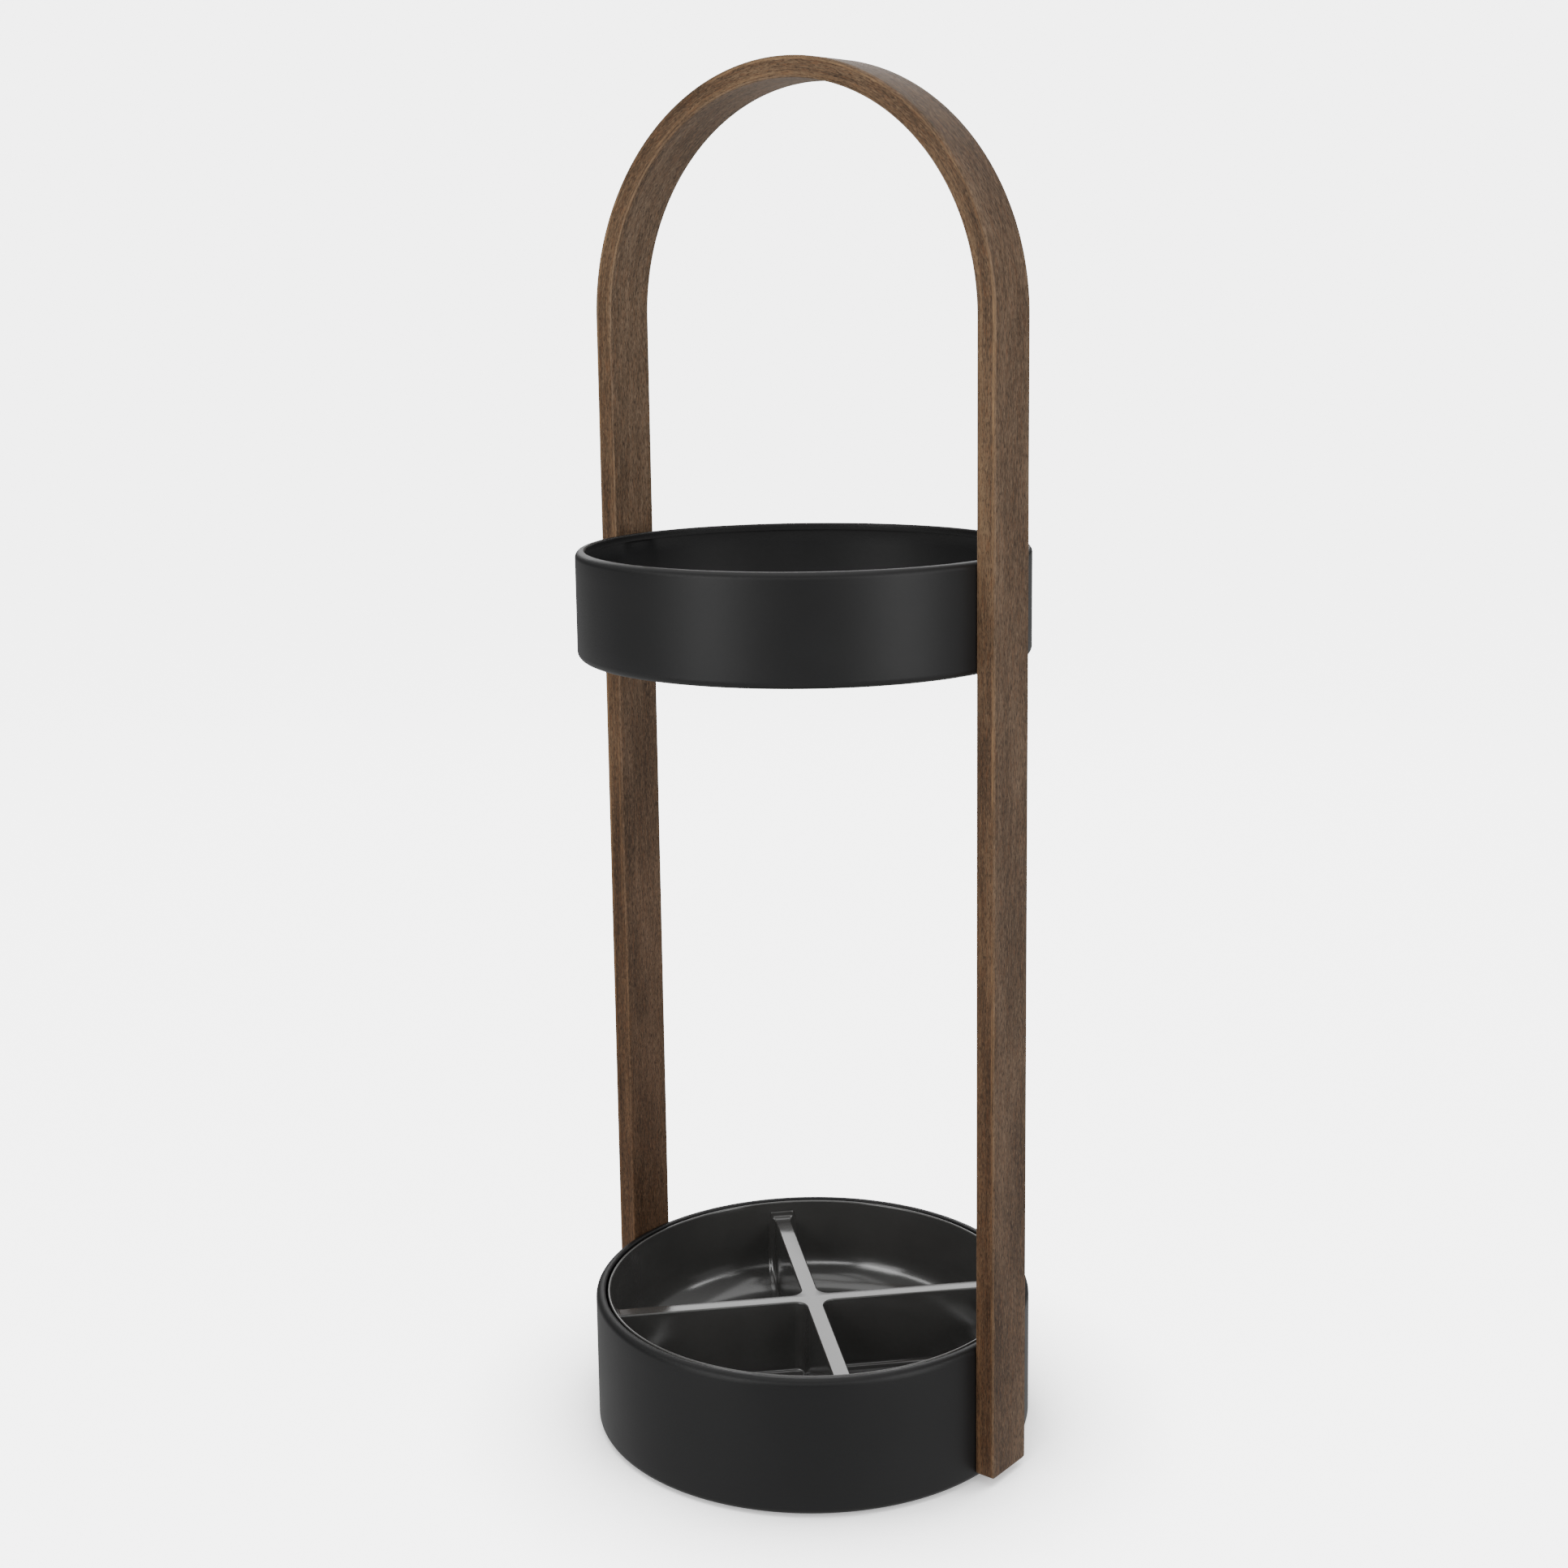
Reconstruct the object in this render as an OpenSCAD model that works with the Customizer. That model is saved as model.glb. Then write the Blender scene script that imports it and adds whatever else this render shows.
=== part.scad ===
// Umbrella stand: a bentwood arch carries an open hoop at mid height and a weighted base with a
// lift-out drip tray. The arch stands in the XZ plane, +Z is up, and the origin is on the floor
// under the middle of the base.

/* [Arch] */
// Height of the whole stand, floor to the top of the arch
overall_height = 765; // [740:1:800]
// Width of the bent strip, front to back
strip_width = 32; // [30:1:34]
// Thickness of the strip's laminated core
core_thickness = 9.5; // [9:0.5:12]
// Thickness of each walnut face veneer
veneer_thickness = 1; // [0.8:0.1:1.2]
// Gap between the ends of the legs and the floor
leg_clearance = 4.5; // [2:0.5:6]

/* [Hoop and base] */
// Outer radius of the upper ring and of the base shell
hoop_radius = 125; // [121:1:130]
// Height of the upper ring
ring_height = 59; // [55:1:65]
// Height of the ring's lower edge above the floor
ring_bottom = 447; // [420:1:470]
// Height of the base shell's rim above the floor
base_height = 78; // [76:1:82]
// Wall thickness of the ring and of the base shell
wall = 3; // [2.8:0.1:3.2]
// Width of the turned-in lips along the edges of the ring and the base
lip_width = 5.5; // [5:0.1:6]
// Radius of the rounded outer edges
edge_radius = 4; // [3:0.1:4]

/* [Drip tray] */
// Gap between the tray's rim and the lip of the base shell
tray_gap = 1.1; // [0.8:0.1:1.5]
// Wall and floor thickness of the tray
tray_wall = 1.8; // [1.6:0.1:2.4]
// Height of the tray's floor above the ground, on its upper side
tray_floor = 25; // [24:0.5:27]
// Height of the top of the cross divider above the ground
divider_top = 67; // [60:0.5:68]
// Width of a divider arm along its top
arm_width = 9.5; // [7:0.5:10]
// Turn of the loose tray in the base, away from arms that lie at 45 degrees to the arch
tray_turn = 2; // [-10:0.5:10]

/* [Ballast and feet] */
// Radius of the steel ballast plate
ballast_radius = 85; // [75:1:85]
// Thickness of the ballast plate
ballast_thickness = 10; // [8:0.5:14]
// Height of the base shell's underside above the floor
foot_height = 1; // [0.8:0.1:1.5]
// Radius of a foot pad
foot_radius = 12; // [9:0.5:13]

/* [Hidden] */
$fn = 96;
// how far a cutting shape runs past the face it opens
over = 1;

// the strip's inner face lies on flats cut into the ring and the base
seat_depth = 1;
seat_x = hoop_radius - seat_depth;
core_inner = seat_x + veneer_thickness;
core_outer = core_inner + core_thickness;
strip_outer = core_outer + veneer_thickness;
spring_z = overall_height - strip_outer;
strip_edge = 0.8;

// lips of the ring and the base
lip_inner = hoop_radius - lip_width;
lip_height = 4.2;
lip_edge = 1.2;
wall_inner = hoop_radius - wall;

// screws through the wall into threaded inserts in the wood; the ring and the base use the same
screw_r = 2.5;
screw_hole_r = 2.75;
screw_length = 12;
head_r = 4.6;
head_height = 2.3;
head_edge = 0.8;
socket_r = 1.7;
socket_depth = 1.4;
washer_r = 5.5;
washer_thickness = 1;
insert_r = 4;
insert_length = 8.5;
screw_pitch = 16;
// the upper screws sit this far above the middle of the ring
screw_above = 4;
ring_middle = ring_bottom + ring_height / 2;
ring_screw_z = [ring_middle + screw_above - screw_pitch, ring_middle + screw_above];
base_screw_z = [16, 44];
// flats inside the wall for the washers
boss_x = seat_x - wall;
boss_half_width = 12;
base_boss_top = 56;
under_head_x = boss_x - washer_thickness;

// base shell
base_floor = foot_height + wall;
rib_inner = ballast_radius + 2;
rib_outer = rib_inner + 2.5;
// clearance between the tray and the rib it comes to rest on
rest_gap = 0.3;

// drip tray: a drafted wall that runs into the floor through a large fillet
tray_rim = base_height - 0.6;
tray_outer = lip_inner - tray_gap;
tray_draft = 3.5;
tray_fillet = 25;
tray_edge = 0.5;
// the pockets' floors end this far above the bottom of that fillet, so that they cross it cleanly
floor_overlap = 0.05;
// divider: each arm widens downwards and has eased top edges and small fillets at the floor
arm_draft = 1.5;
arm_edge = 1.6;
arm_foot_fillet = 2.5;
// radius of the rise at an arm's end, and how far it dips into the arm's top
arm_rise_radius = 4.5;
rise_overlap = 0.05;
// distance of a corner fillet's axis from the middle plane of each arm beside it
corner_axis = 12;

// ballast and feet
ballast_screw_count = 3;
ballast_screw_circle = 60;
ballast_head_r = 4.8;
ballast_head_height = 2.3;
ballast_edge = 1;
foot_thickness = foot_height + 1;
foot_pocket_gap = 0.2;
foot_circle = 98;
foot_edge = 0.5;

walnut_edge = [0.40, 0.26, 0.17];
walnut_face = [0.31, 0.21, 0.15];
satin_black = [0.06, 0.06, 0.065];
gloss_black = [0.08, 0.08, 0.085];
steel = [0.62, 0.63, 0.65];
dark_steel = [0.25, 0.26, 0.28];
brass = [0.72, 0.58, 0.30];
rubber = [0.03, 0.03, 0.03];

// ---- outlines, radius along X and height along Y ----

// Rounds off the corner at (x, z); dx and dz point out of the body
module round_off(x, z, r, dx, dz) {
    difference() {
        translate([x - dx * r, z - dz * r])
            mirror([dx < 0 ? 1 : 0, 0]) mirror([0, dz < 0 ? 1 : 0]) square(r + over);
        translate([x - dx * r, z - dz * r]) circle(r = r);
    }
}

// A lip turned in from the wall, between two heights; dz points to its open side
module lip_outline(low, dz) {
    edge_z = dz > 0 ? low + lip_height : low;
    difference() {
        translate([lip_inner, low]) square([lip_width, lip_height]);
        round_off(lip_inner, edge_z, lip_edge, -1, dz);
    }
}

module ring_outline() {
    top = ring_bottom + ring_height;
    difference() {
        union() {
            translate([wall_inner, ring_bottom]) square([wall, ring_height]);
            lip_outline(top - lip_height, 1);
            lip_outline(ring_bottom, -1);
        }
        round_off(hoop_radius, top, edge_radius, 1, 1);
        round_off(hoop_radius, ring_bottom, edge_radius, 1, -1);
    }
}

module base_outline() {
    difference() {
        union() {
            translate([wall_inner, foot_height]) square([wall, base_height - foot_height]);
            translate([0, foot_height]) square([wall_inner, wall]);
            translate([rib_inner, base_floor])
                square([rib_outer - rib_inner, tray_floor - tray_wall - rest_gap - base_floor]);
            lip_outline(base_height - lip_height, 1);
        }
        round_off(hoop_radius, base_height, edge_radius, 1, 1);
        round_off(hoop_radius, foot_height, edge_radius, 1, -1);
    }
}

// A filled bowl: drafted wall through (top_r, tray_rim), flat floor at floor_z, fillet between them
module bowl_outline(top_r, floor_z, r) {
    axis_z = floor_z + r;
    axis_r = top_r - (tray_rim - axis_z) * tan(tray_draft) - r / cos(tray_draft);
    polygon([[0, floor_z], [axis_r, floor_z],
             [axis_r + r * cos(tray_draft), axis_z - r * sin(tray_draft)],
             [top_r, tray_rim], [0, tray_rim]]);
    translate([axis_r, axis_z]) circle(r = r);
}

// Half-width of a divider arm at a height
function arm_side(z) = arm_width / 2 + (divider_top - z) * tan(arm_draft);

// Section of a pocket beside an arm: the arm's side is at the right, with its eased top edge and
// the fillet at the floor; x is measured from the axis of the pocket's rounded corner
module pocket_outline() {
    edge_z = divider_top - arm_edge;
    edge_x = corner_axis - arm_side(edge_z) + arm_edge / cos(arm_draft);
    foot_z = tray_floor + arm_foot_fillet;
    foot_x = corner_axis - arm_side(foot_z) - arm_foot_fillet / cos(arm_draft);
    difference() {
        polygon([[0, tray_floor], [foot_x, tray_floor],
                 [foot_x + arm_foot_fillet * cos(arm_draft), foot_z - arm_foot_fillet * sin(arm_draft)],
                 [edge_x - arm_edge * cos(arm_draft), edge_z + arm_edge * sin(arm_draft)],
                 [edge_x, edge_z + arm_edge * sin(arm_draft)], [edge_x, divider_top],
                 [0, divider_top]]);
        translate([edge_x, edge_z]) circle(r = arm_edge);
    }
    translate([foot_x, foot_z]) circle(r = arm_foot_fillet);
}

// ---- shared solids ----

// Sweeps a cross-section of the strip up one leg, round the arch and down the other leg
module bent() {
    for (side = [0, 1])
        mirror([side, 0, 0]) translate([0, 0, leg_clearance])
            linear_extrude(spring_z - leg_clearance) children();
    translate([0, 0, spring_z]) rotate([90, 0, 0]) rotate_extrude(angle = 180) children();
}

// Repeats a shape drawn along +X, at both legs and at each height
module at_screws(heights) {
    for (side = [0, 1], z = heights)
        mirror([side, 0, 0]) translate([0, 0, z]) children();
}

// A bar along +X, from one x to another
module along_x(x0, x1, r) {
    translate([x0, 0, 0]) rotate([0, 90, 0]) cylinder(r = r, h = x1 - x0);
}

module screw() {
    translate([under_head_x, 0, 0]) rotate([0, -90, 0]) difference() {
        rotate_extrude() difference() {
            square([head_r, head_height]);
            round_off(head_r, head_height, head_edge, 1, 1);
        }
        translate([0, 0, head_height - socket_depth])
            cylinder(r = socket_r, h = socket_depth + over, $fn = 6);
    }
    along_x(under_head_x, under_head_x + screw_length, screw_r);
}

module washer() {
    difference() {
        along_x(under_head_x, boss_x, washer_r);
        along_x(under_head_x - over, boss_x + over, screw_hole_r);
    }
}

module insert() {
    difference() {
        along_x(seat_x, seat_x + insert_length, insert_r);
        along_x(seat_x - over, seat_x + insert_length + over, screw_r);
    }
}

// Bosses that flatten the inside of the wall for the washers
module bosses(low, high) {
    for (side = [0, 1]) mirror([side, 0, 0]) intersection() {
        translate([boss_x, -boss_half_width, low])
            cube([seat_x - boss_x, 2 * boss_half_width, high - low]);
        translate([0, 0, low]) cylinder(r = hoop_radius - wall / 2, h = high - low);
    }
}

// Flats outside the wall for the strip, and the screw holes
module seats(low, high, heights) {
    for (side = [0, 1]) mirror([side, 0, 0])
        translate([seat_x, -strip_width, low - over])
            cube([over + seat_depth, 2 * strip_width, high - low + 2 * over]);
    at_screws(heights) along_x(lip_inner, hoop_radius + over, screw_hole_r);
}

// ---- nodes ----

module arch_core() color(walnut_edge) difference() {
    bent() translate([core_inner, -strip_width / 2]) square([core_thickness, strip_width]);
    at_screws(concat(base_screw_z, ring_screw_z))
        along_x(seat_x, seat_x + insert_length, insert_r);
}

module arch_outer_veneer() color(walnut_face) bent() difference() {
    translate([core_outer, -strip_width / 2]) square([veneer_thickness, strip_width]);
    for (dy = [-1, 1]) round_off(strip_outer, dy * strip_width / 2, strip_edge, 1, dy);
}

module arch_inner_veneer() color(walnut_face) difference() {
    bent() difference() {
        translate([seat_x, -strip_width / 2]) square([veneer_thickness, strip_width]);
        for (dy = [-1, 1]) round_off(seat_x, dy * strip_width / 2, strip_edge, -1, dy);
    }
    at_screws(concat(base_screw_z, ring_screw_z))
        along_x(seat_x - over, core_inner + over, insert_r);
}

module upper_ring() color(satin_black) difference() {
    union() {
        rotate_extrude() ring_outline();
        bosses(ring_bottom + lip_height, ring_bottom + ring_height - lip_height);
    }
    seats(ring_bottom, ring_bottom + ring_height, ring_screw_z);
}

module ring_screws() color(dark_steel) at_screws(ring_screw_z) screw();
module ring_washers() color(dark_steel) at_screws(ring_screw_z) washer();
module ring_inserts() color(brass) at_screws(ring_screw_z) insert();

module base_shell() color(satin_black) difference() {
    union() {
        rotate_extrude() base_outline();
        bosses(base_floor, base_boss_top);
    }
    seats(foot_height, base_height, base_screw_z);
    at_ballast_screws() {
        translate([0, 0, foot_height - over]) cylinder(r = screw_hole_r, h = wall + 2 * over);
        ballast_head();
    }
    for (i = [1 : 4]) at_foot(i)
        translate([0, 0, foot_height - over])
            cylinder(r = foot_radius + foot_pocket_gap, h = foot_thickness - foot_height + over);
}

module base_screws() color(dark_steel) at_screws(base_screw_z) screw();
module base_washers() color(dark_steel) at_screws(base_screw_z) washer();
module base_inserts() color(brass) at_screws(base_screw_z) insert();

module at_ballast_screws() {
    for (i = [0 : ballast_screw_count - 1])
        rotate([0, 0, 90 + i * 360 / ballast_screw_count])
            translate([ballast_screw_circle, 0, 0]) children();
}

module ballast_head() {
    translate([0, 0, foot_height])
        cylinder(r1 = ballast_head_r, r2 = screw_r, h = ballast_head_height);
}

module ballast_plate() color(dark_steel) difference() {
    rotate_extrude() polygon([
        [0, base_floor], [ballast_radius, base_floor],
        [ballast_radius, base_floor + ballast_thickness - ballast_edge],
        [ballast_radius - ballast_edge, base_floor + ballast_thickness],
        [0, base_floor + ballast_thickness]]);
    at_ballast_screws() translate([0, 0, base_floor - over])
        cylinder(r = screw_r, h = ballast_thickness + 2 * over);
}

module ballast_screws() color(steel) at_ballast_screws() difference() {
    union() {
        ballast_head();
        translate([0, 0, foot_height + ballast_head_height])
            cylinder(r = screw_r, h = screw_length - ballast_head_height);
    }
    translate([0, 0, foot_height - over])
        cylinder(r = socket_r, h = socket_depth + over, $fn = 6);
}

module at_foot(i) {
    rotate([0, 0, 45 + (i - 1) * 90]) translate([foot_circle, 0, 0]) children();
}

module foot_pad(i) color(rubber) at_foot(i) rotate_extrude() difference() {
    square([foot_radius, foot_thickness]);
    round_off(foot_radius, 0, foot_edge, 1, -1);
}
module foot_pad_1() foot_pad(1);
module foot_pad_2() foot_pad(2);
module foot_pad_3() foot_pad(3);
module foot_pad_4() foot_pad(4);

// One pocket of the tray in the quarter between +X and +Y, open at the top and outwards
module pocket() {
    reach = tray_outer;
    translate([corner_axis, corner_axis, 0]) {
        rotate([0, 0, 180]) rotate_extrude(angle = 90) pocket_outline();
        rotate([90, 0, 180]) linear_extrude(reach) pocket_outline();
        translate([reach, 0, 0]) rotate([90, 0, -90]) linear_extrude(reach) pocket_outline();
        translate([0, 0, tray_floor]) cube([reach, reach, divider_top - tray_floor]);
    }
}

// The rise where the top of an arm along +X runs up into the tray wall
module arm_rise() {
    inside_r = tray_outer - tray_wall - (tray_rim - divider_top) * tan(tray_draft);
    half = arm_width / 2 - arm_edge;
    start = inside_r - arm_rise_radius;
    rotate([90, 0, 0]) translate([0, 0, -half]) linear_extrude(2 * half) difference() {
        translate([start, divider_top - arm_edge])
            square([arm_rise_radius + tray_wall, arm_rise_radius + arm_edge]);
        translate([start, divider_top + arm_rise_radius - rise_overlap]) circle(r = arm_rise_radius);
    }
}

module drip_tray() color(gloss_black) rotate([0, 0, tray_turn]) {
    difference() {
        rotate_extrude() difference() {
            bowl_outline(tray_outer, tray_floor - tray_wall, tray_fillet + tray_wall);
            round_off(tray_outer, tray_rim, tray_edge, 1, 1);
        }
        intersection() {
            rotate_extrude()
                bowl_outline(tray_outer - tray_wall, tray_floor - floor_overlap, tray_fillet);
            union() {
                translate([-hoop_radius, -hoop_radius, divider_top])
                    cube([2 * hoop_radius, 2 * hoop_radius, tray_rim - divider_top]);
                for (turn = [45 : 90 : 315]) rotate([0, 0, turn]) pocket();
            }
        }
    }
    intersection() {
        for (turn = [45 : 90 : 315]) rotate([0, 0, turn]) arm_rise();
        rotate_extrude() bowl_outline(tray_outer - tray_wall / 2, tray_floor, tray_fillet);
    }
}

arch_core();
arch_outer_veneer();
arch_inner_veneer();
upper_ring();
ring_screws();
ring_washers();
ring_inserts();
base_shell();
base_screws();
base_washers();
base_inserts();
ballast_plate();
ballast_screws();
foot_pad_1();
foot_pad_2();
foot_pad_3();
foot_pad_4();
drip_tray();
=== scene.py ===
import math

import bpy
from mathutils import Matrix, Vector


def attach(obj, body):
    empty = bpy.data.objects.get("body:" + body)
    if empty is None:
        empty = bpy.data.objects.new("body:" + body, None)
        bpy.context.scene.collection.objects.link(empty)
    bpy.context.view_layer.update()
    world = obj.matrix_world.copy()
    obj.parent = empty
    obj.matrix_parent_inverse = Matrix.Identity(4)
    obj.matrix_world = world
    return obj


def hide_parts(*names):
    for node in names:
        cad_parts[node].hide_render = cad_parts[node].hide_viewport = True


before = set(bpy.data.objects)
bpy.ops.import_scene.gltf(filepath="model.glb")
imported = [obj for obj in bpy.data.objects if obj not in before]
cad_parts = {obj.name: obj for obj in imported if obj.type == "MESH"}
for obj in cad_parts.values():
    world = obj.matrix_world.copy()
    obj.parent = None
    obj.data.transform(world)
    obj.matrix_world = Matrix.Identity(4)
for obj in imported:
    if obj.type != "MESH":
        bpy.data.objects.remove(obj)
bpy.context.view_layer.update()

MM = 0.001

# ---------------------------------------------------------------- sizes, mm

# radius of ring and base, a hair under the CAD's 125 mm to stay inside its faceted box
HOOP_R = 124.96
WALL_R = 122.0
LIP_R = 119.5
LIP_H = 4.2
RING_LOW, RING_TOP = 447.0, 506.0
BASE_LOW, BASE_TOP = 1.0, 78.0

# the bent strip lies in flat seats on ring and base, in three layers from the inside out
SEAT_X, CORE_IN, CORE_OUT, STRIP_OUT = 124.0, 125.0, 134.5, 135.5
BOSS_X = SEAT_X - 3.0
MID_R = (SEAT_X + STRIP_OUT) / 2
HALF_W = 16.0
LEG_END = 4.5
SPRING = 629.5
STRIP_LENGTH = SPRING * 2 + MID_R * math.pi

ROUND_STEPS = 360

# ---------------------------------------------------------------- mesh code


def make_piece(name, points, faces, body="stand", nodes=(), material=None, attrs=None,
               sharp=None):
    """A mesh piece from points in mm, riding on a CAD body."""
    me = bpy.data.meshes.new(name)
    me.from_pydata([(x * MM, y * MM, z * MM) for x, y, z in points], [], faces)
    if attrs:
        for key, values in attrs.items():
            layer = me.attributes.new(key, "FLOAT_VECTOR", "POINT")
            flat = [c * MM for v in values for c in v]
            layer.data.foreach_set("vector", flat)
    me.polygons.foreach_set("use_smooth", [True] * len(me.polygons))
    me.update()
    ob = bpy.data.objects.new(name, me)
    bpy.context.scene.collection.objects.link(ob)
    if sharp is not None:
        me.set_sharp_from_angle(angle=math.radians(sharp))
    if material:
        me.materials.append(material)
    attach(ob, body)
    if nodes:
        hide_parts(*nodes)
    return ob


def arc(cx, cz, r, a0, a1, steps):
    """Points of an arc, degrees from a0 to a1."""
    out = []
    for i in range(steps + 1):
        a = math.radians(a0 + (a1 - a0) * i / steps)
        out.append((cx + r * math.cos(a), cz + r * math.sin(a)))
    return out


def split_line(p, q, parts):
    """Points between p and q, both left out."""
    return [(p[0] + (q[0] - p[0]) * i / parts, p[1] + (q[1] - p[1]) * i / parts)
            for i in range(1, parts)]


def lathe(profile, segments, closed, shape=None):
    """Turns a profile of (radius, z) round the Z axis. A point with radius 0 becomes one vertex."""
    points, rings, faces = [], [], []
    for r, z in profile:
        if r == 0.0:
            rings.append([len(points)] * segments)
            points.append((0.0, 0.0, z))
            continue
        rings.append(list(range(len(points), len(points) + segments)))
        for i in range(segments):
            a = 2 * math.pi * i / segments
            p = (r * math.cos(a), r * math.sin(a), z)
            points.append(shape(p, r) if shape else p)
    pairs = list(zip(rings, rings[1:] + rings[:1] if closed else rings[1:]))
    for low, high in pairs:
        for i in range(segments):
            j = (i + 1) % segments
            quad = [low[i], low[j], high[j], high[i]]
            quad = [v for k, v in enumerate(quad) if v != quad[k - 1]]
            if len(quad) > 2:
                faces.append(quad)
    return points, faces


# ---------------------------------------------------------------- materials


class Nodes:
    """A short way to write a material's node tree."""

    def __init__(self, name):
        self.mat = bpy.data.materials.new(name)
        self.mat.use_nodes = True
        self.tree = self.mat.node_tree
        self.shader = self.tree.nodes["Principled BSDF"]

    def add(self, kind, **props):
        n = self.tree.nodes.new(kind)
        for k, v in props.items():
            setattr(n, k, v)
        return n

    def put(self, socket, value):
        if isinstance(value, bpy.types.NodeSocket):
            self.tree.links.new(value, socket)
        else:
            socket.default_value = value

    def math(self, op, a, b=0.0, c=0.0, clamp=False):
        n = self.add("ShaderNodeMath", operation=op, use_clamp=clamp)
        for s, v in zip(n.inputs, (a, b, c)):
            self.put(s, v)
        return n.outputs[0]

    def vmath(self, op, a, b):
        n = self.add("ShaderNodeVectorMath", operation=op)
        self.put(n.inputs[0], a)
        self.put(n.inputs[1], b)
        return n.outputs[0]

    def noise(self, vector, scale=1.0, detail=2.0, rough=0.5, distort=0.0):
        n = self.add("ShaderNodeTexNoise")
        self.put(n.inputs["Vector"], vector)
        self.put(n.inputs["Scale"], scale)
        self.put(n.inputs["Detail"], detail)
        self.put(n.inputs["Roughness"], rough)
        self.put(n.inputs["Distortion"], distort)
        return n.outputs["Fac"]

    def ramp(self, value, stops, interpolation="LINEAR"):
        n = self.add("ShaderNodeValToRGB")
        r = n.color_ramp
        r.interpolation = interpolation
        while len(r.elements) < len(stops):
            r.elements.new(0.5)
        for e, (pos, col) in zip(r.elements, stops):
            e.position = pos
            e.color = (*col, 1.0) if len(col) == 3 else col
        self.put(n.inputs["Fac"], value)
        return n.outputs["Color"]

    def remap(self, value, a, b, c, d):
        n = self.add("ShaderNodeMapRange")
        for s, v in zip(n.inputs, (value, a, b, c, d)):
            self.put(s, v)
        return n.outputs[0]

    def mix(self, fac, a, b, blend="MIX"):
        n = self.add("ShaderNodeMix", data_type="RGBA", blend_type=blend)
        self.put(n.inputs[0], fac)
        self.put(n.inputs[6], a)
        self.put(n.inputs[7], b)
        return n.outputs[2]

    def bump(self, height, strength, distance):
        n = self.add("ShaderNodeBump")
        self.put(n.inputs["Height"], height)
        n.inputs["Strength"].default_value = strength
        n.inputs["Distance"].default_value = distance
        self.put(self.shader.inputs["Normal"], n.outputs["Normal"])


def wood(name, dark, mid, light, warm, foot_shade, narrow_edge):
    """Stained walnut. The strip_place attribute is (along the strip, across it, through it), m.
    Painted shade: the colour is darker and redder towards both ends of the strip, down the legs, by a
    share given per material."""
    m = Nodes(name)
    place = m.add("ShaderNodeAttribute", attribute_name="strip_place").outputs["Vector"]
    parts = m.add("ShaderNodeSeparateXYZ")
    m.put(parts.inputs[0], place)
    along, across, through = parts.outputs
    to_end = m.math("MINIMUM", along, m.math("SUBTRACT", STRIP_LENGTH * MM, along))

    def stretched(x, y, z):
        return m.vmath("MULTIPLY", place, (x, y, z))

    # from broad clouds of stain down to single pores, all drawn out along the grain
    cloud = m.noise(stretched(10.0, 40.0, 90.0), 1.0, 3.0, 0.55)
    figure = m.noise(stretched(22.0, 360.0, 520.0), 1.0, 4.0, 0.62, 0.3)
    streak = m.noise(stretched(85.0, 900.0, 1100.0), 1.0, 4.0, 0.70)
    grain = m.noise(stretched(300.0, 1500.0, 1700.0), 1.0, 2.0, 0.60)
    pores = m.noise(stretched(260.0, 1350.0, 1500.0), 1.3, 2.0, 0.55)
    tone = m.math("MULTIPLY", cloud, 0.34)
    tone = m.math("MULTIPLY_ADD", figure, 0.20, tone)
    tone = m.math("MULTIPLY_ADD", streak, 0.24, tone)
    tone = m.math("MULTIPLY_ADD", grain, 0.32, tone)
    colour = m.ramp(tone, [(0.45, dark), (0.55, mid), (0.65, light)])
    red = m.remap(m.noise(stretched(60.0, 700.0, 900.0), 1.7, 3.0, 0.6), 0.50, 0.66, 0.0, 0.62)
    colour = m.mix(red, colour, (*warm, 1.0))
    fleck = m.remap(m.noise(stretched(240.0, 1250.0, 1400.0), 1.3, 2.0), 0.58, 0.70, 0.0, 0.55)
    colour = m.mix(fleck, colour, (*[c * 1.30 for c in light], 1.0))
    pore = m.remap(pores, 0.54, 0.63, 0.0, 1.0)
    colour = m.mix(m.math("MULTIPLY", pore, 0.66), colour, (*[c * 0.45 for c in dark], 1.0))
    # the stain is worn to tan in long patches beside the glue lines, and the same tan in the same
    # patches is painted highlight on the outer glue line and on the rounded corners
    wear_and_sheen = m.remap(m.noise(stretched(9.0, 3.0, 200.0), 1.0, 3.0, 0.6), 0.44, 0.60, 0.15, 0.80)
    if narrow_edge:
        # worn glue lines; the line beside the outer veneer is lightened further as painted highlight
        # of the corner next to it
        for line, width, share in ((CORE_OUT - 0.5, 0.9, 1.3), (CORE_IN + 1.4, 1.6, 0.5)):
            off = m.math("ABSOLUTE", m.math("SUBTRACT", through, line * MM))
            near = m.remap(off, 0.0, width * MM, share, 0.0)
            rub_and_sheen = m.math("MULTIPLY", m.math("MULTIPLY", near, wear_and_sheen),
                         m.remap(streak, 0.35, 0.62, 0.25, 1.0), clamp=True)
            colour = m.mix(rub_and_sheen, colour, (*TAN_WEAR_AND_SHEEN, 1.0))
    else:
        # painted highlight: the rounded long corners of a face are lightened to tan in patches
        rim = m.remap(m.math("ABSOLUTE", across), 15.2 * MM, 15.8 * MM, 0.0, 0.45)
        colour = m.mix(m.math("MULTIPLY", rim, wear_and_sheen, clamp=True), colour, (*TAN_WEAR_AND_SHEEN, 1.0))
    # painted shade, darker and redder towards both ends of the strip
    colour = m.mix(m.remap(to_end, 0.16, 0.62, foot_shade, 0.0), colour, (*FOOT_SHADE_TINT, 1.0), "MULTIPLY")
    m.put(m.shader.inputs["Base Color"], colour)
    m.put(m.shader.inputs["Roughness"], m.remap(streak, 0.3, 0.7, 0.46, 0.62))
    m.shader.inputs["Specular IOR Level"].default_value = 0.22
    height = m.math("SUBTRACT", m.math("MULTIPLY", streak, 0.5), pore)
    m.bump(height, 0.30, 0.00012)
    return m.mat


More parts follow.
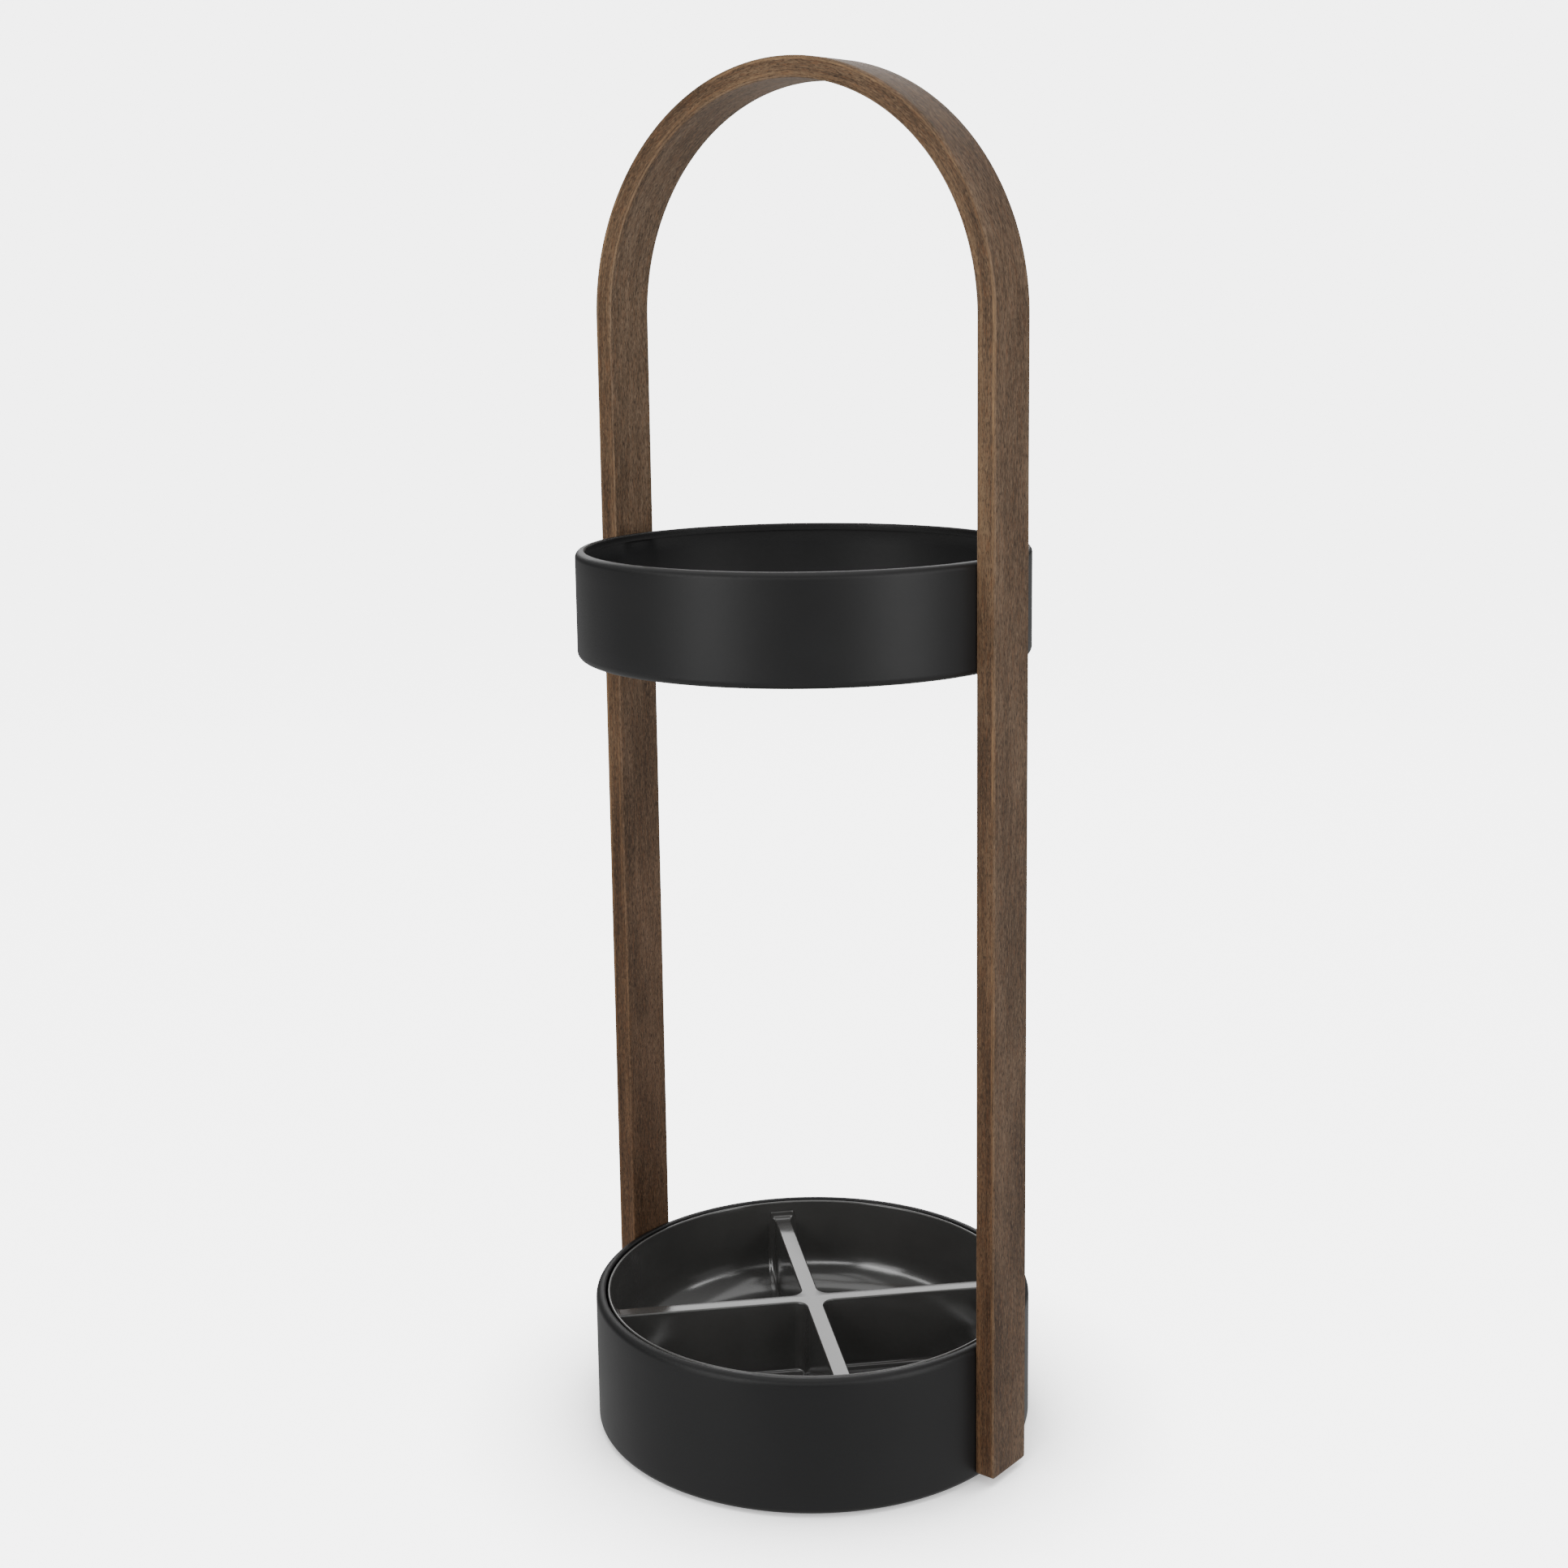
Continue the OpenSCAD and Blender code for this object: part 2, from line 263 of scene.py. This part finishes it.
def moulded(name, base, rough, spread, spec, grain):
    """Moulded plastic or lacquered sheet: faint mottling in tone and gloss over fine orange peel."""
    m = Nodes(name)
    place = m.add("ShaderNodeTexCoord").outputs["Object"]
    cloud = m.noise(place, 18.0, 3.0)
    peel = m.noise(place, grain, 2.0, 0.6)
    fine = m.noise(place, grain * 5.0, 2.0, 0.6)
    tone = m.remap(cloud, 0.3, 0.7, 0.88, 1.12)
    m.put(m.shader.inputs["Base Color"], m.mix(1.0, (*base, 1.0), tone, "MULTIPLY"))
    m.put(m.shader.inputs["Roughness"], m.remap(cloud, 0.3, 0.7, rough - spread, rough + spread))
    m.shader.inputs["Specular IOR Level"].default_value = spec
    m.bump(m.math("ADD", peel, m.math("MULTIPLY", fine, 0.4)), 0.05, 0.0002)
    return m.mat


def metal(name, base, rough, brushed):
    """Metal with fine lines, drawn out along the axes on which the brushed scale is low."""
    m = Nodes(name)
    place = m.add("ShaderNodeTexCoord").outputs["Object"]
    lines = m.noise(m.vmath("MULTIPLY", place, brushed), 1.0, 3.0, 0.6)
    spots = m.noise(place, 220.0, 3.0)
    tone = m.remap(m.math("ADD", lines, spots), 0.7, 1.3, 0.78, 1.15)
    m.put(m.shader.inputs["Base Color"], m.mix(1.0, (*base, 1.0), tone, "MULTIPLY"))
    m.shader.inputs["Metallic"].default_value = 1.0
    m.put(m.shader.inputs["Roughness"], m.remap(lines, 0.3, 0.7, rough - 0.08, rough + 0.10))
    m.bump(lines, 0.08, 0.0001)
    return m.mat


# wood colours run dark, middle, light and the warm patches
# tan of the worn stain, also used as painted highlight on the outer glue line and the corners
TAN_WEAR_AND_SHEEN = (0.400, 0.245, 0.125)
# tint of the painted shade towards both ends of the strip
FOOT_SHADE_TINT = (0.60, 0.48, 0.40)
WOOD_CORE = wood("walnut_core", (0.053, 0.031, 0.017), (0.126, 0.077, 0.043),
                 (0.233, 0.150, 0.084), (0.189, 0.084, 0.034), 0.70, True)
WOOD_FACE = wood("walnut_face", (0.055, 0.035, 0.022), (0.120, 0.079, 0.050),
                 (0.197, 0.134, 0.087), (0.158, 0.082, 0.043), 0.20, False)
# painted light: the inner veneer is the face's walnut made about a third lighter, lifting the shaded
# inner side of the strip
WOOD_INNER_LIT = wood("walnut_inner_face_lit", (0.073, 0.047, 0.029), (0.160, 0.107, 0.067),
                  (0.261, 0.179, 0.119), (0.204, 0.109, 0.057), 0.76, False)
SHELL = moulded("satin_black", (0.0085, 0.0085, 0.0088), 0.46, 0.03, 0.36, 700.0)
TRAY = moulded("tray_black", (0.053, 0.052, 0.050), 0.155, 0.025, 1.0, 900.0)
RUBBER = moulded("foot_rubber", (0.018, 0.018, 0.018), 0.75, 0.05, 0.30, 1400.0)
ZINC = metal("zinc_steel", (0.55, 0.56, 0.58), 0.32, (900.0, 900.0, 90.0))
BLACK_STEEL = metal("black_steel", (0.045, 0.045, 0.048), 0.38, (700.0, 700.0, 700.0))
BALLAST = metal("ballast_steel", (0.22, 0.23, 0.24), 0.45, (60.0, 1200.0, 60.0))
BRASS = metal("brass", (0.62, 0.45, 0.20), 0.30, (900.0, 900.0, 120.0))

# ---------------------------------------------------------------- bent strip

# rounding of the strip's ends, across it and through it, and of its long corners
END_ROUND, END_ROUND_THIN = 1.9, 0.8
CORNER_ROUND = 0.9
LEG_STEP, ARCH_STEPS = 8.0, 128


def strip_path():
    """Stations along the strip: (distance, where, height or angle, share of the end rounding)."""
    # a quarter circle from the end face up to the straight leg
    leg = [(LEG_END + END_ROUND * h, share) for share, h in arc(1.0, 1.0, 1.0, 270, 180, 5)]
    z = LEG_END + END_ROUND
    while z < SPRING - LEG_STEP:
        z += LEG_STEP
        leg.append((min(z, SPRING - 1.0), 0.0))
    out = [(h, "left", h, share) for h, share in leg]
    for i in range(ARCH_STEPS + 1):
        a = math.pi * (1 - i / ARCH_STEPS)
        out.append((SPRING + MID_R * (math.pi - a), "arch", a, 0.0))
    out += [(STRIP_LENGTH - h, "right", h, share) for h, share in reversed(leg)]
    return out


def strip_layer(name, section, nodes, material):
    """Sweeps a closed (through, across) section along the strip."""
    points, place, faces = [], [], []
    path = strip_path()
    n = len(section)
    for s, kind, at, share in path:
        thin = 1 - share * END_ROUND_THIN / (STRIP_OUT - MID_R)
        wide = 1 - share * END_ROUND / HALF_W
        for r, y in section:
            q, w = MID_R + (r - MID_R) * thin, y * wide
            if kind == "left":
                points.append((-q, w, at))
            elif kind == "right":
                points.append((q, w, at))
            else:
                points.append((q * math.cos(at), w, SPRING + q * math.sin(at)))
            place.append((s, w, q))
    for i in range(len(path) - 1):
        for k in range(n):
            k2 = (k + 1) % n
            faces.append([i * n + k, (i + 1) * n + k, (i + 1) * n + k2, i * n + k2])
    for start, flip in ((0, False), ((len(path) - 1) * n, True)):
        ring = list(range(start, start + n))
        faces.append(ring[::-1] if flip else ring)
    return make_piece(name, points, faces, "stand", nodes, material,
                      {"strip_place": place}, sharp=40)


def box_section(r0, r1, round_in=False, round_out=False):
    """Section of a layer between two radii, with its inner or outer corners rounded."""
    e, y = CORNER_ROUND, HALF_W
    pts = arc(r0 + e, -y + e, e, 180, 270, 5) if round_in else [(r0, -y)]
    if not (round_in or round_out):
        pts += split_line((r0, -y), (r1, -y), 4)
    pts += arc(r1 - e, -y + e, e, 270, 360, 5) if round_out else [(r1, -y)]
    pts += split_line((r1, -y), (r1, y), 8)
    pts += arc(r1 - e, y - e, e, 0, 90, 5) if round_out else [(r1, y)]
    pts += arc(r0 + e, y - e, e, 90, 180, 5) if round_in else [(r0, y)]
    pts += split_line((r0, y), (r0, -y), 8)
    return pts


strip_layer("strip_core", box_section(CORE_IN, CORE_OUT), ("arch_core",),
            WOOD_CORE)
strip_layer("strip_outer_veneer", box_section(CORE_OUT, STRIP_OUT, round_out=True),
            ("arch_outer_veneer",), WOOD_FACE)
strip_layer("strip_inner_veneer", box_section(SEAT_X, CORE_IN, round_in=True),
            ("arch_inner_veneer",), WOOD_INNER_LIT)

# ---------------------------------------------------------------- ring and base

EDGE_R, LIP_EDGE = 4.0, 1.2
# bevels at a lip's free edge, where it meets the wall, and between the base's wall and floor
LIP_BREAK, WALL_BREAK, FLOOR_BREAK = 0.3, 0.5, 0.6
# how far the inner flats stop short of a lip
FLAT_GAP = 0.4
BASE_FLOOR, BASE_FLAT_TOP = 4.0, 56.0
RIB_IN, RIB_OUT, RIB_TOP, RIB_EDGE = 87.0, 89.5, 22.9, 0.5
SCREW_CIRCLE, FOOT_CIRCLE = 60.0, 98.0


def seated(low, high):
    """Flattens the outside where the strip lies, and the inside where the washers sit."""
    def shape(p, r):
        x, y, z = p
        x = max(-SEAT_X, min(SEAT_X, x))
        if abs(r - WALL_R) < 0.2 and low <= z <= high:
            x = max(-BOSS_X, min(BOSS_X, x))
        return (x, y, z)
    return shape


def top_lip(top):
    """From the outside wall over the rounded top to the inside wall under the lip."""
    under = top - LIP_H
    pts = arc(HOOP_R - EDGE_R, top - EDGE_R, EDGE_R, 0, 90, 10)
    pts += arc(LIP_R + LIP_EDGE, top - LIP_EDGE, LIP_EDGE, 90, 180, 6)
    pts += [(LIP_R, under + LIP_BREAK), (LIP_R + LIP_BREAK, under)]
    pts += [(WALL_R - WALL_BREAK, under), (WALL_R, under - WALL_BREAK)]
    return pts


ring_profile = top_lip(RING_TOP)
ring_profile += split_line((WALL_R, RING_TOP - LIP_H - WALL_BREAK),
                           (WALL_R, RING_LOW + LIP_H + WALL_BREAK), 6)
ring_profile += [(r, RING_TOP + RING_LOW - z) for r, z in reversed(top_lip(RING_TOP))]
ring_profile += split_line((HOOP_R, RING_LOW + EDGE_R), (HOOP_R, RING_TOP - EDGE_R), 6)
pts, fcs = lathe(ring_profile, ROUND_STEPS, True,
                 seated(RING_LOW + LIP_H + FLAT_GAP, RING_TOP - LIP_H - FLAT_GAP))
make_piece("ring_shell", pts, [f[::-1] for f in fcs], "stand", ("upper_ring",), SHELL,
           sharp=50)

base_profile = top_lip(BASE_TOP)
base_profile += split_line((WALL_R, BASE_TOP - LIP_H - WALL_BREAK), (WALL_R, BASE_FLOOR + WALL_BREAK),
                           8)
base_profile += [(WALL_R, BASE_FLOOR + FLOOR_BREAK), (WALL_R - FLOOR_BREAK, BASE_FLOOR),
                 (RIB_OUT, BASE_FLOOR), (RIB_OUT, RIB_TOP - RIB_EDGE), (RIB_OUT - RIB_EDGE, RIB_TOP),
                 (RIB_IN + RIB_EDGE, RIB_TOP), (RIB_IN, RIB_TOP - RIB_EDGE), (RIB_IN, BASE_FLOOR),
                 (0.0, BASE_FLOOR), (0.0, BASE_LOW), (SCREW_CIRCLE, BASE_LOW), (110.0, BASE_LOW)]
base_profile += arc(HOOP_R - EDGE_R, BASE_LOW + EDGE_R, EDGE_R, 270, 360, 10)
base_profile += split_line((HOOP_R, BASE_LOW + EDGE_R), (HOOP_R, BASE_TOP - EDGE_R), 8)
pts, fcs = lathe(base_profile, ROUND_STEPS, True,
                 seated(BASE_FLOOR + FLOOR_BREAK, BASE_FLAT_TOP))
base = make_piece("base_body", pts, [f[::-1] for f in fcs], "stand", ("base_shell",), SHELL,
                  sharp=50)


def drill(ob, profile, radius, angles):
    """Cuts turned holes into a piece at places on a circle."""
    points, faces = [], []
    for angle in angles:
        a = math.radians(angle)
        pts, fcs = lathe(profile, 48, False)
        n = len(points)
        points += [(x + radius * math.cos(a), y + radius * math.sin(a), z) for x, y, z in pts]
        faces += [[v + n for v in f] for f in fcs]
    me = bpy.data.meshes.new("hole")
    me.from_pydata([(x * MM, y * MM, z * MM) for x, y, z in points], [], faces)
    cutter = bpy.data.objects.new("hole", me)
    bpy.context.scene.collection.objects.link(cutter)
    mod = ob.modifiers.new("holes", "BOOLEAN")
    mod.operation, mod.solver, mod.object = "DIFFERENCE", "EXACT", cutter
    bpy.context.view_layer.update()
    cut = bpy.data.meshes.new_from_object(ob.evaluated_get(bpy.context.evaluated_depsgraph_get()))
    ob.modifiers.remove(mod)
    old, ob.data = ob.data, cut
    cut.name = old.name + "_drilled"
    bpy.data.objects.remove(cutter)
    bpy.data.meshes.remove(me)


# countersunk screw holes and foot pockets, both cut from below
HEAD_R, HEAD_DEPTH, SHANK_R = 4.85, 2.3, 2.05
FOOT_POCKET_R, FOOT_POCKET_TOP = 12.2, 2.0
BELOW, ABOVE = BASE_LOW - 0.5, BASE_FLOOR + 0.5
drill(base, [(0.0, BELOW), (HEAD_R, BELOW), (HEAD_R, BASE_LOW), (SHANK_R, BASE_LOW + HEAD_DEPTH),
             (SHANK_R, ABOVE), (0.0, ABOVE)], SCREW_CIRCLE, (90, 210, 330))
drill(base, [(0.0, BELOW), (FOOT_POCKET_R, BELOW), (FOOT_POCKET_R, FOOT_POCKET_TOP),
             (0.0, FOOT_POCKET_TOP)], FOOT_CIRCLE, (45, 135, 225, 315))

# ---------------------------------------------------------------- drip tray

TRAY_RIM, TRAY_OUT, TRAY_WALL, TRAY_FLOOR = 77.4, 118.4, 1.8, 25.0
DRAFT = math.radians(3.5)
BOWL_FILLET = 25.0
DIVIDER_TOP, ARM_HALF, ARM_DRAFT, ARM_EDGE = 67.0, 4.75, math.radians(1.5), 1.0
CORNER_AXIS, FOOT_FILLET, END_FILLET = 12.0, 2.5, 4.0
TRAY_TURN = 45.0 + 2.0
# rounding of the tray's rim, and how far its outer edge stays inside TRAY_OUT
RIM_EDGE, RIM_INSET = 0.85, 0.02
# an arm's top rises by ARM_RISE where it runs into the wall; the rise grows with height from
# BLEND_FROM up, and fades out over the last RISE_FADE before RISE_HALF from the arm's middle
ARM_RISE, BLEND_FROM, RISE_HALF, RISE_FADE = 4.8, 60.0, 8.2, 1.4
# rows of vertices along an arm, and how far its end reaches into the wall
ARM_ROWS, INTO_WALL = 26, 0.9


def bowl_side(top_r, floor_z, r):
    """The curve from a bowl's floor up its fillet to the rim, and the fillet's axis."""
    axis_z = floor_z + r
    axis_r = top_r - (TRAY_RIM - axis_z) * math.tan(DRAFT) - r / math.cos(DRAFT)
    return arc(axis_r, axis_z, r, 270, 360 - math.degrees(DRAFT), 14), (axis_r, axis_z)


def bowl_radius(z):
    """Inner radius of the bowl at a height."""
    _, (axis_r, axis_z) = bowl_side(TRAY_OUT - TRAY_WALL, TRAY_FLOOR, BOWL_FILLET)
    if z < axis_z - BOWL_FILLET * math.sin(DRAFT):
        return axis_r + math.sqrt(BOWL_FILLET ** 2 - (axis_z - max(z, TRAY_FLOOR)) ** 2)
    return TRAY_OUT - TRAY_WALL - (TRAY_RIM - z) * math.tan(DRAFT)


def divider_levels():
    """(height, half-width of an arm) from the foot fillet to the eased top edge."""
    def side(z):
        return ARM_HALF + (DIVIDER_TOP - z) * math.tan(ARM_DRAFT)
    out = []
    foot = TRAY_FLOOR + FOOT_FILLET
    for z_off, w_off in arc(0.0, 0.0, FOOT_FILLET, 270, 180, 7):
        out.append((foot + w_off, side(foot) + FOOT_FILLET + z_off))
    for z in (29.0, 31.0, 33.5, 36.5, 40.0, 44.0, 48.0, 52.0, 60.0, 64.0, DIVIDER_TOP - ARM_EDGE):
        out.append((z, side(z)))
    edge = DIVIDER_TOP - ARM_EDGE
    for w_off, z_off in arc(0.0, 0.0, ARM_EDGE, 0, 90, 6)[1:]:
        out.append((edge + z_off, side(edge) - ARM_EDGE + w_off))
    return out


def end_rows():
    """(distance past the start of an arm's end fillet, rise of its top) towards the wall."""
    rise_r, face = 3.3, 3.35
    rows = []
    for i in range(9):
        a = math.radians(i * 90 / 8)
        rows.append((face - rise_r * (1 - math.sin(a)), rise_r * (1 - math.cos(a))))
    rows += [(face, 4.0), (face + 0.08, 4.35), (face + 0.25, 4.6), (face + 0.5, 4.75),
             (END_FILLET - 0.01, ARM_RISE)]
    return rows


def divider_mesh():
    """The cross, lofted from its foot fillets up to the eased top, in mm."""
    ends = end_rows()
    loops, points, faces = [], [], []
    for z, w in divider_levels():
        wall = bowl_radius(z)
        start = math.sqrt((wall - END_FILLET) ** 2 - (w + END_FILLET) ** 2)
        outward = []
        for i in range(ARM_ROWS):
            outward.append((CORNER_AXIS + (start - CORNER_AXIS) * i / ARM_ROWS, w, 0.0))
        for off, rise in ends:
            y = w + END_FILLET - math.sqrt(END_FILLET ** 2 - off ** 2)
            outward.append((start + off, y, rise))
        reach = (wall + INTO_WALL) / (wall - END_FILLET)
        outward.append((start * reach, (w + END_FILLET) * reach, ARM_RISE))
        share = min(max((z - BLEND_FROM) / (DIVIDER_TOP - BLEND_FROM), 0.0), 1.0)
        loop = []
        for k in range(4):
            a = math.radians(TRAY_TURN + 90 * k)
            ca, sa = math.cos(a), math.sin(a)
            inner = arc(CORNER_AXIS, CORNER_AXIS, CORNER_AXIS - w, 270, 180, 8)[1:-1]
            local = [(x, -y, h) for x, y, h in outward] + [(x, y, h) for x, y, h in reversed(outward)]
            local += [(x, y, 0.0) for x, y in inner]
            for x, y, h in local:
                keep = min(max((RISE_HALF - abs(y)) / RISE_FADE, 0.0), 1.0)
                keep = keep * keep * (3 - 2 * keep)
                loop.append(len(points))
                points.append((x * ca - y * sa, x * sa + y * ca, z + h * share * keep))
        loops.append(loop)
    size = len(loops[0])
    for low, high in zip(loops, loops[1:]):
        for j in range(size):
            j2 = (j + 1) % size
            faces.append([low[j], low[j2], high[j2], high[j]])
    top = loops[-1]
    per_arm = size // 4
    count = len(ends) + ARM_ROWS + 1
    middle = len(points)
    points.append((0.0, 0.0, DIVIDER_TOP))
    for k in range(4):
        arm = top[k * per_arm:(k + 1) * per_arm]
        left, right = arm[:count], arm[count:2 * count][::-1]
        for i in range(count - 1):
            faces.append([left[i], left[i + 1], right[i + 1], right[i]])
        corner = [right[0]] + arm[2 * count:] + [top[((k + 1) % 4) * per_arm]]
        faces.append([middle, left[0], right[0]])
        for p, q in zip(corner, corner[1:]):
            faces.append([middle, p, q])
    return points, faces


WALL_LEVELS, FLOOR_MID = (50.0, 64.0, 74.0), 60.0
TRAY_IN, TRAY_UNDER = TRAY_OUT - TRAY_WALL, TRAY_FLOOR - TRAY_WALL
bowl = [(0.0, TRAY_UNDER), (FLOOR_MID, TRAY_UNDER)]
bowl += bowl_side(TRAY_OUT, TRAY_UNDER, BOWL_FILLET + TRAY_WALL)[0]
bowl += [(TRAY_OUT - (TRAY_RIM - z) * math.tan(DRAFT), z) for z in WALL_LEVELS]
bowl += arc(TRAY_OUT - RIM_EDGE - RIM_INSET, TRAY_RIM - RIM_EDGE, RIM_EDGE, 0, 90, 6)
bowl += arc(TRAY_IN + RIM_EDGE, TRAY_RIM - RIM_EDGE, RIM_EDGE, 90, 180, 6)
bowl += [(TRAY_IN - (TRAY_RIM - z) * math.tan(DRAFT), z) for z in reversed(WALL_LEVELS)]
bowl += bowl_side(TRAY_IN, TRAY_FLOOR, BOWL_FILLET)[0][::-1]
bowl += [(FLOOR_MID, TRAY_FLOOR), (0.0, TRAY_FLOOR)]
pts, fcs = lathe(bowl, ROUND_STEPS, False)
cross_pts, cross_fcs = divider_mesh()
fcs += [[v + len(pts) for v in f] for f in cross_fcs]
pts += cross_pts
make_piece("tray_body", pts, fcs, "drip_tray", ("drip_tray",), TRAY, sharp=50)

# ---------------------------------------------------------------- parts kept from CAD

KEPT = {
    "ring_screws": BLACK_STEEL, "base_screws": BLACK_STEEL,
    "ring_washers": BLACK_STEEL, "base_washers": BLACK_STEEL, "ballast_screws": ZINC,
    "ring_inserts": BRASS, "base_inserts": BRASS,
    "ballast_plate": BALLAST,
    "foot_pad_1": RUBBER, "foot_pad_2": RUBBER, "foot_pad_3": RUBBER, "foot_pad_4": RUBBER,
}
for node, mat in KEPT.items():
    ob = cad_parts[node]
    ob.data.materials.clear()
    ob.data.materials.append(mat)

# ---------------------------------------------------------------- stage, light, camera

STAGE_GLOW = 4.8
# what each side of the studio reflects: the camera's side is dark above the horizon
FRONT = (0.614, -0.789, 0.0)
SKY_BACK, SKY_FRONT, GROUND, HORIZON = 0.55, 0.16, 0.66, 0.07


def stage_material():
    """Pale floor that glows evenly, with a painted soft shadow: the glow darkens where the object is
    close to it.
    """
    m = Nodes("floor_white")
    place = m.add("ShaderNodeTexCoord").outputs["Object"]
    tone = m.remap(m.noise(place, 1.5, 2.0), 0.3, 0.7, 0.88, 0.90)
    m.put(m.shader.inputs["Base Color"], tone)
    m.shader.inputs["Roughness"].default_value = 0.9
    m.shader.inputs["Specular IOR Level"].default_value = 0.0
    m.shader.inputs["Emission Color"].default_value = (1.0, 1.0, 1.0, 1.0)
    # painted contact shadow: occlusion near the object dims the glow
    shade = m.add("ShaderNodeAmbientOcclusion", samples=4)
    shade.inputs["Distance"].default_value = 0.10
    m.put(m.shader.inputs["Emission Strength"],
          m.remap(shade.outputs["AO"], 0.45, 0.97, 0.4, STAGE_GLOW))
    return m.mat


# a flat disc, a tenth of a millimetre under the pads, that curves up into a wall all round
FLOOR_Z, FLAT_R, SWEEP_R = -0.1, 2400.0, 1800.0
floor_profile = [(0.0, FLOOR_Z), (800.0, FLOOR_Z), (FLAT_R, FLOOR_Z)]
floor_profile += arc(FLAT_R, FLOOR_Z + SWEEP_R, SWEEP_R, 270, 350, 24)[1:]
floor_profile += [(4250.0, 3200.0), (4300.0, 5200.0)]
pts, fcs = lathe(floor_profile, 96, False)
me = bpy.data.meshes.new("floor")
me.from_pydata([(x * MM, y * MM, z * MM) for x, y, z in pts], [], fcs)
me.polygons.foreach_set("use_smooth", [True] * len(me.polygons))
floor = bpy.data.objects.new("floor", me)
me.materials.append(stage_material())
bpy.context.scene.collection.objects.link(floor)
# the floor shows the object's soft shadow, and neither lights the object nor shines in it
floor.visible_diffuse = False
floor.visible_glossy = False
floor.visible_shadow = False

world = bpy.data.worlds.new("studio")
bpy.context.scene.world = world
world.use_nodes = True
tree = world.node_tree
tree.nodes["Background"].inputs["Color"].default_value = (1.0, 1.0, 1.0, 1.0)
look = tree.nodes.new("ShaderNodeTexCoord").outputs["Generated"]
across = tree.nodes.new("ShaderNodeVectorMath")
across.operation = "DOT_PRODUCT"
across.inputs[1].default_value = FRONT
sky = tree.nodes.new("ShaderNodeMapRange")
for key, value in (("From Min", -0.4), ("From Max", 0.7), ("To Min", SKY_BACK),
                   ("To Max", SKY_FRONT)):
    sky.inputs[key].default_value = value
height = tree.nodes.new("ShaderNodeSeparateXYZ")


def band(low, high):
    """How far a direction's height is between two heights, 0 to 1."""
    n = tree.nodes.new("ShaderNodeMapRange")
    n.inputs["From Min"].default_value = low
    n.inputs["From Max"].default_value = high
    tree.links.new(height.outputs["Z"], n.inputs["Value"])
    return n.outputs[0]


def blend_to(fac, a, b):
    """A value from a to b; each of the three is a number or a socket."""
    n = tree.nodes.new("ShaderNodeMix")
    for socket, value in ((n.inputs[0], fac), (n.inputs[2], a), (n.inputs[3], b)):
        if isinstance(value, float):
            socket.default_value = value
        else:
            tree.links.new(value, socket)
    return n.outputs[0]


tree.links.new(look, across.inputs[0])
tree.links.new(look, height.inputs[0])
tree.links.new(across.outputs["Value"], sky.inputs["Value"])
low_part = blend_to(band(-0.20, 0.00), GROUND, HORIZON)
tree.links.new(blend_to(band(0.20, 0.40), low_part, sky.outputs[0]),
               tree.nodes["Background"].inputs["Strength"])


def softbox(name, place, target, size, radiance):
    """A rectangle of light with an even brightness."""
    data = bpy.data.lights.new(name, "AREA")
    data.shape = "RECTANGLE"
    data.size, data.size_y = size
    data.energy = radiance * size[0] * size[1] * math.pi
    ob = bpy.data.objects.new(name, data)
    bpy.context.scene.collection.objects.link(ob)
    ob.location = place
    ob.rotation_mode = "QUATERNION"
    ob.rotation_quaternion = (Vector(target) - Vector(place)).to_track_quat("-Z", "Y")
    return ob


softbox("overhead", (-0.05, 0.05, 1.9), (0, 0, 0.2), (1.8, 1.8), 1.1)
softbox("back", (-1.25, 1.60, 1.28), (0, 0, 0.05), (2.2, 0.86), 2.7)
softbox("left", (-0.25, -1.75, 0.65), (0, 0, 0.40), (0.80, 1.7), 2.8)
softbox("right", (1.76, -0.16, 0.65), (0, 0, 0.40), (0.80, 1.7), 2.9)
softbox("front_left", (-0.75, -2.05, 1.50), (0, 0, 0.05), (2.2, 0.26), 4.5)
softbox("front", (1.35, -1.74, 1.50), (0, 0, 0.05), (2.2, 0.26), 4.5)
softbox("front_right", (2.18, 0.28, 1.50), (0, 0, 0.05), (2.2, 0.26), 4.5)

# the fitted camera: angles in degrees, distance and height in metres, focal length in pixels
AZIMUTH, PITCH, YAW, ROLL = (math.radians(v) for v in (37.88, 9.76, 0.538, -0.781))
DISTANCE, HEIGHT = 1.2349, 0.6423
FOCAL_PX, FRAME_PX = 2786.8, 1932.0
heading = AZIMUTH + YAW
forward = Vector((-math.sin(heading) * math.cos(PITCH), math.cos(heading) * math.cos(PITCH),
                  -math.sin(PITCH)))
right = Vector((math.cos(heading), math.sin(heading), 0.0))
up = right.cross(forward)
right, up = (right * math.cos(ROLL) + up * math.sin(ROLL),
             up * math.cos(ROLL) - right * math.sin(ROLL))
cam_data = bpy.data.cameras.new("camera")
cam_data.sensor_width = 36.0
cam_data.lens = FOCAL_PX / FRAME_PX * cam_data.sensor_width
cam_data.shift_y = -0.065
cam = bpy.data.objects.new("camera", cam_data)
bpy.context.scene.collection.objects.link(cam)
turn = Matrix((right, up, -forward)).transposed().to_4x4()
spot = Vector((DISTANCE * math.sin(AZIMUTH), -DISTANCE * math.cos(AZIMUTH), HEIGHT))
cam.matrix_world = Matrix.Translation(spot) @ turn
bpy.context.scene.camera = cam
